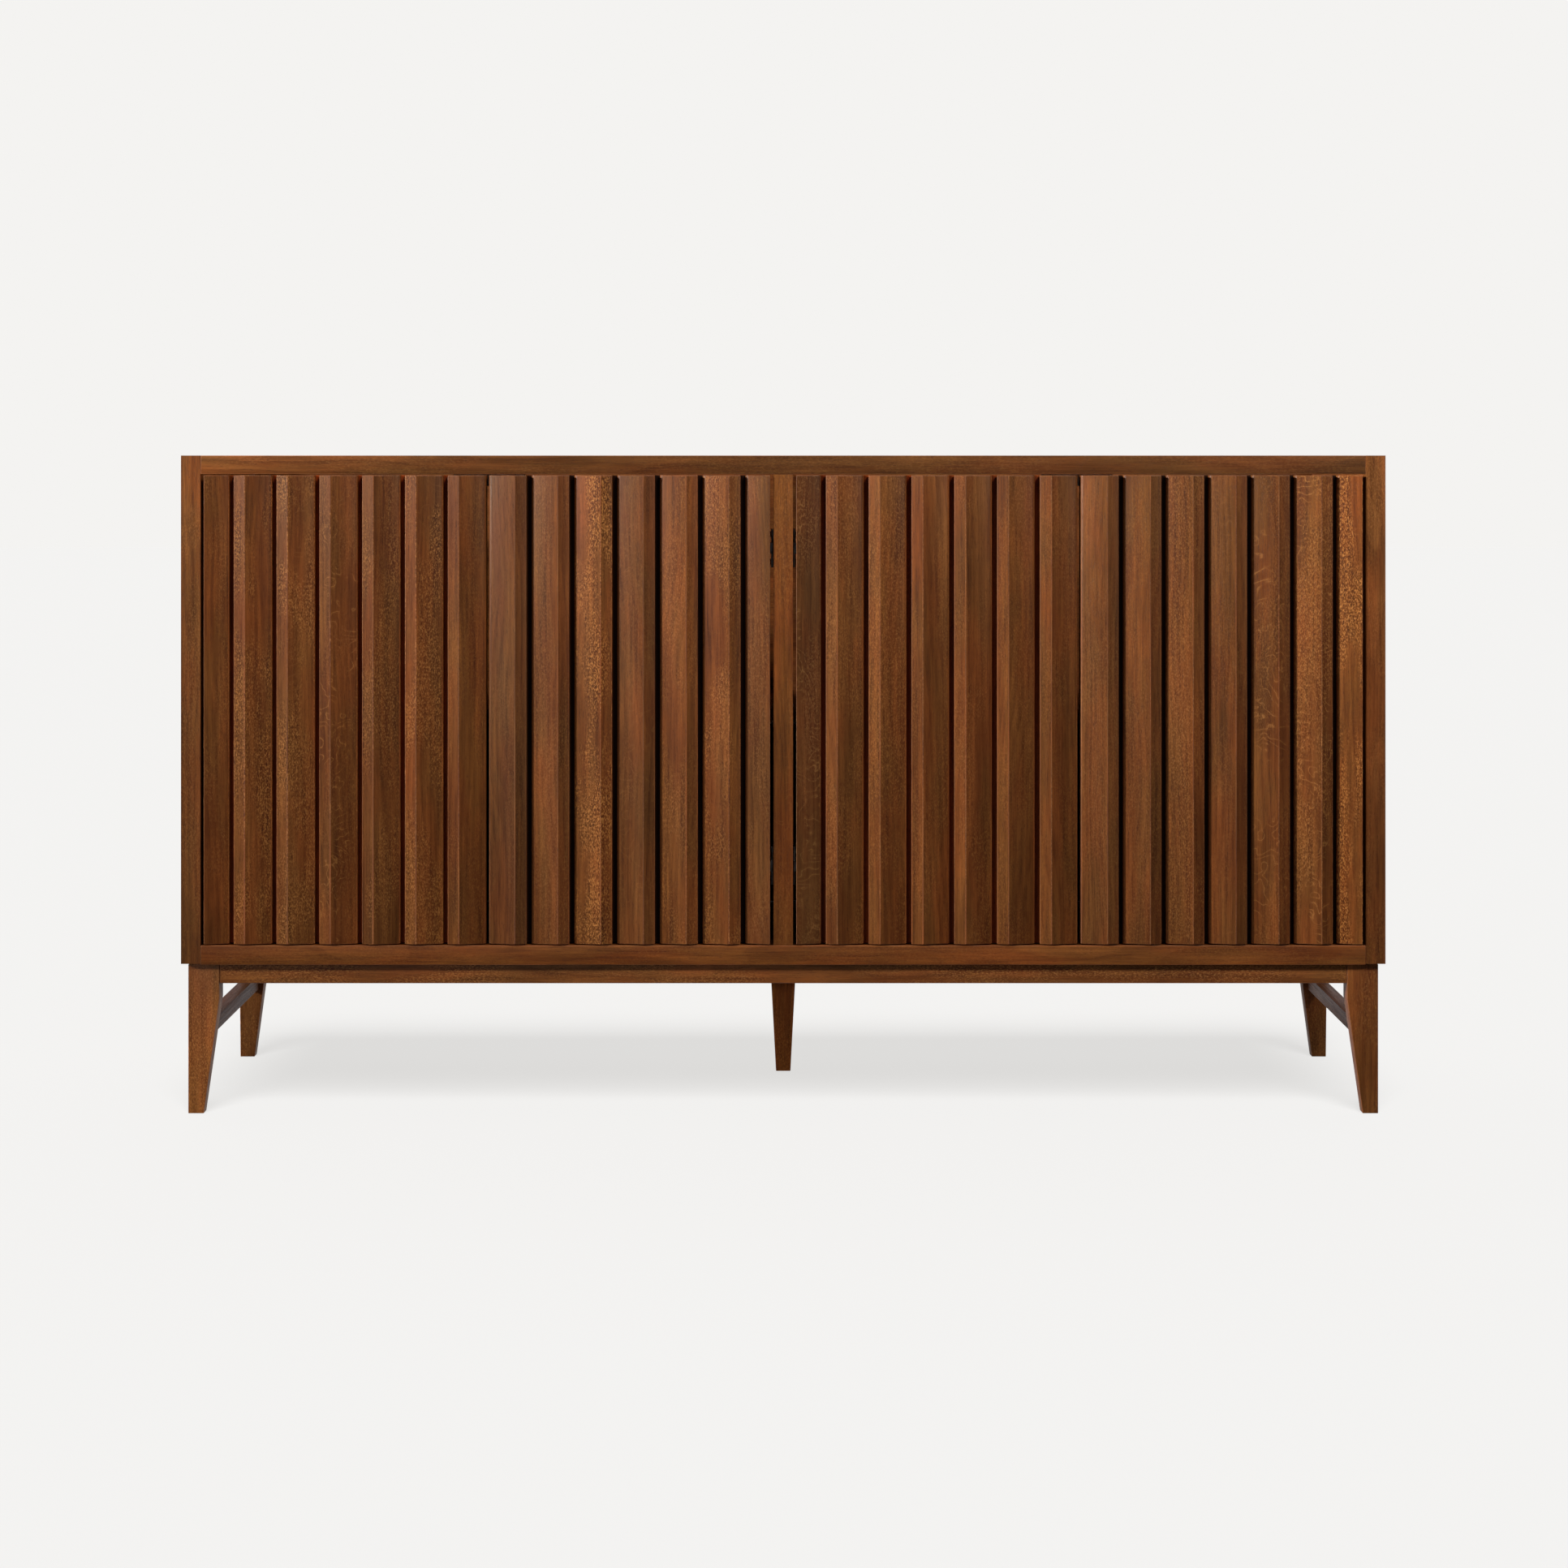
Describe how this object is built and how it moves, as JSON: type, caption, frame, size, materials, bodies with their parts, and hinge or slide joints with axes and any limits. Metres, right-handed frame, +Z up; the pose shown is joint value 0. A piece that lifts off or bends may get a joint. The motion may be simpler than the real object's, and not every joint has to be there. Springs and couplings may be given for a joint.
{
  "type": "sideboard buffet",
  "caption": "Low walnut-stained sideboard with hinged slatted doors over two shelved bays, standing on a frame of tapered legs.",
  "frame": {"origin": "on the floor, under the middle of the whole part's box", "axes": "+X along the length, to the right seen from the front; +Y from the doors to the back; +Z up"},
  "size_m": [1.55, 0.453, 0.848],
  "materials": {
    "slat_wood": "satin walnut stain, grain along the slats",
    "case_wood": "satin walnut stain",
    "inner_wood": "matt walnut veneer",
    "base_wood": "satin walnut stain",
    "hinge_steel": "nickel-plated pressed steel",
    "catch_plastic": "white moulded plastic"
  },
  "bodies": {
    "case": {"side_panel_left": "case_wood", "side_panel_right": "case_wood", "top_panel": "case_wood", "bottom_panel": "case_wood", "center_partition": "case_wood", "back_panel": "inner_wood", "shelf_left": "inner_wood", "shelf_right": "inner_wood", "hinge_arm_1_lower": "hinge_steel", "hinge_arm_1_upper": "hinge_steel", "hinge_arm_2_lower": "hinge_steel", "hinge_arm_2_upper": "hinge_steel", "hinge_arm_3_lower": "hinge_steel", "hinge_arm_3_upper": "hinge_steel", "hinge_arm_4_lower": "hinge_steel", "hinge_arm_4_upper": "hinge_steel", "magnetic_catch_left": "catch_plastic", "magnetic_catch_right": "catch_plastic", "leg_front_left": "base_wood", "leg_front_right": "base_wood", "leg_back_left": "base_wood", "leg_back_right": "base_wood", "center_leg": "base_wood", "front_apron": "base_wood", "back_apron": "base_wood", "side_stretcher_left": "base_wood", "side_stretcher_right": "base_wood"},
    "door_1": {"door_1_backing": "slat_wood", "door_1_slat_1": "slat_wood", "door_1_slat_2": "slat_wood", "door_1_slat_3": "slat_wood", "door_1_slat_4": "slat_wood", "door_1_slat_5": "slat_wood", "door_1_slat_6": "slat_wood", "door_1_slat_7": "slat_wood"},
    "door_2": {"door_2_backing": "slat_wood", "door_2_slat_1": "slat_wood", "door_2_slat_2": "slat_wood", "door_2_slat_3": "slat_wood", "door_2_slat_4": "slat_wood", "door_2_slat_5": "slat_wood", "door_2_slat_6": "slat_wood", "door_2_slat_7": "slat_wood"},
    "door_3": {"door_3_backing": "slat_wood", "door_3_slat_1": "slat_wood", "door_3_slat_2": "slat_wood", "door_3_slat_3": "slat_wood", "door_3_slat_4": "slat_wood", "door_3_slat_5": "slat_wood", "door_3_slat_6": "slat_wood", "door_3_slat_7": "slat_wood"},
    "door_4": {"door_4_backing": "slat_wood", "door_4_slat_1": "slat_wood", "door_4_slat_2": "slat_wood", "door_4_slat_3": "slat_wood", "door_4_slat_4": "slat_wood", "door_4_slat_5": "slat_wood", "door_4_slat_6": "slat_wood", "door_4_slat_7": "slat_wood"}
  },
  "joints": [
    {"name": "door_1_hinge", "type": "hinge", "parent": "case", "child": "door_1", "pos_m": [-0.7424, -0.2235, 0.52075], "axis": [0, 0, -1], "range_deg": [0, 110]},
    {"name": "door_2_hinge", "type": "hinge", "parent": "case", "child": "door_2", "pos_m": [-0.0199, -0.2235, 0.52075], "axis": [0, 0, 1], "range_deg": [0, 90]},
    {"name": "door_3_hinge", "type": "hinge", "parent": "case", "child": "door_3", "pos_m": [0.0199, -0.2235, 0.52075], "axis": [0, 0, -1], "range_deg": [0, 90]},
    {"name": "door_4_hinge", "type": "hinge", "parent": "case", "child": "door_4", "pos_m": [0.7424, -0.2235, 0.52075], "axis": [0, 0, 1], "range_deg": [0, 110]}
  ]
}
